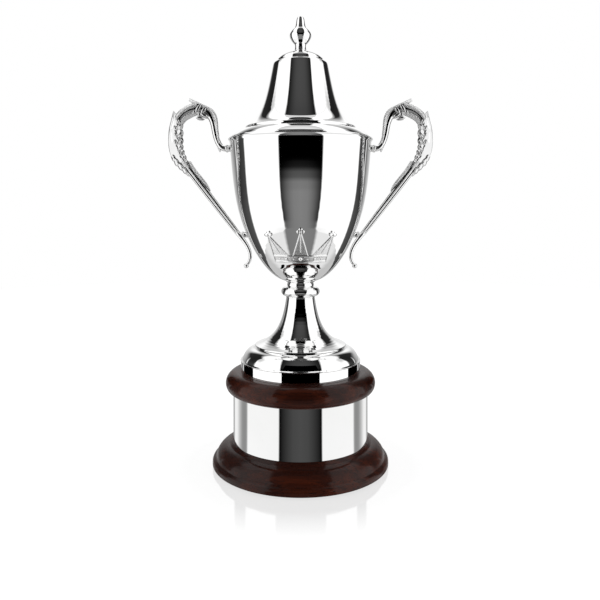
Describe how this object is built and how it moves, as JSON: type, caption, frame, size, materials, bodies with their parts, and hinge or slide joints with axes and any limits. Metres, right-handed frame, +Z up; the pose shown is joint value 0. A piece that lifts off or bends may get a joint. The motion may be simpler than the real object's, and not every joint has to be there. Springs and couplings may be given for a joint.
{
  "type": "lidded trophy cup",
  "caption": "Presentation cup with lift-off lid, scroll handles, trumpet stem and domed foot on a round wooden plinth with a plain silver band.",
  "frame": {"origin": "on the cup's axis, at the underside of the baize where the plinth stands", "axes": "+Z up the cup's axis, handles along X, the coronet faces -Y"},
  "size_m": [0.2634, 0.175, 0.4453],
  "materials": {
    "silver_plate": "mirror polished silver plate",
    "satin_silver": "satin silver plate with polished edges",
    "mahogany": "dark mahogany stain under gloss lacquer",
    "brass": "plain turned brass",
    "baize": "green baize"
  },
  "bodies": {
    "cup": {"baize_pad": "baize", "plinth_base": "mahogany", "plinth_drum": "mahogany", "plinth_top": "mahogany", "plinth_band": "silver_plate", "band_pins": "brass", "foot": "silver_plate", "foot_bridge": "brass", "fixing_stud": "brass", "fixing_washer": "brass", "wing_nut": "brass", "stem": "silver_plate", "knop": "silver_plate", "collar": "silver_plate", "bowl_bolt": "brass", "bowl_washer": "brass", "bowl": "silver_plate", "bowl_rim": "silver_plate", "coronet": "satin_silver", "handle_left": "silver_plate", "handle_right": "silver_plate", "upper_leaf_left": "silver_plate", "upper_leaf_right": "silver_plate", "lower_leaf_left": "silver_plate", "lower_leaf_right": "silver_plate", "upper_ferrules": "silver_plate", "lower_pads": "silver_plate", "handle_screws": "brass"},
    "lid": {"lid": "silver_plate", "lid_bezel": "silver_plate", "finial": "silver_plate", "finial_washer": "brass", "finial_nut": "brass"}
  },
  "joints": [
    {"name": "lid_lift", "type": "slide", "parent": "cup", "child": "lid", "axis": [0, 0, 1], "range_m": [0, 0.1]}
  ]
}
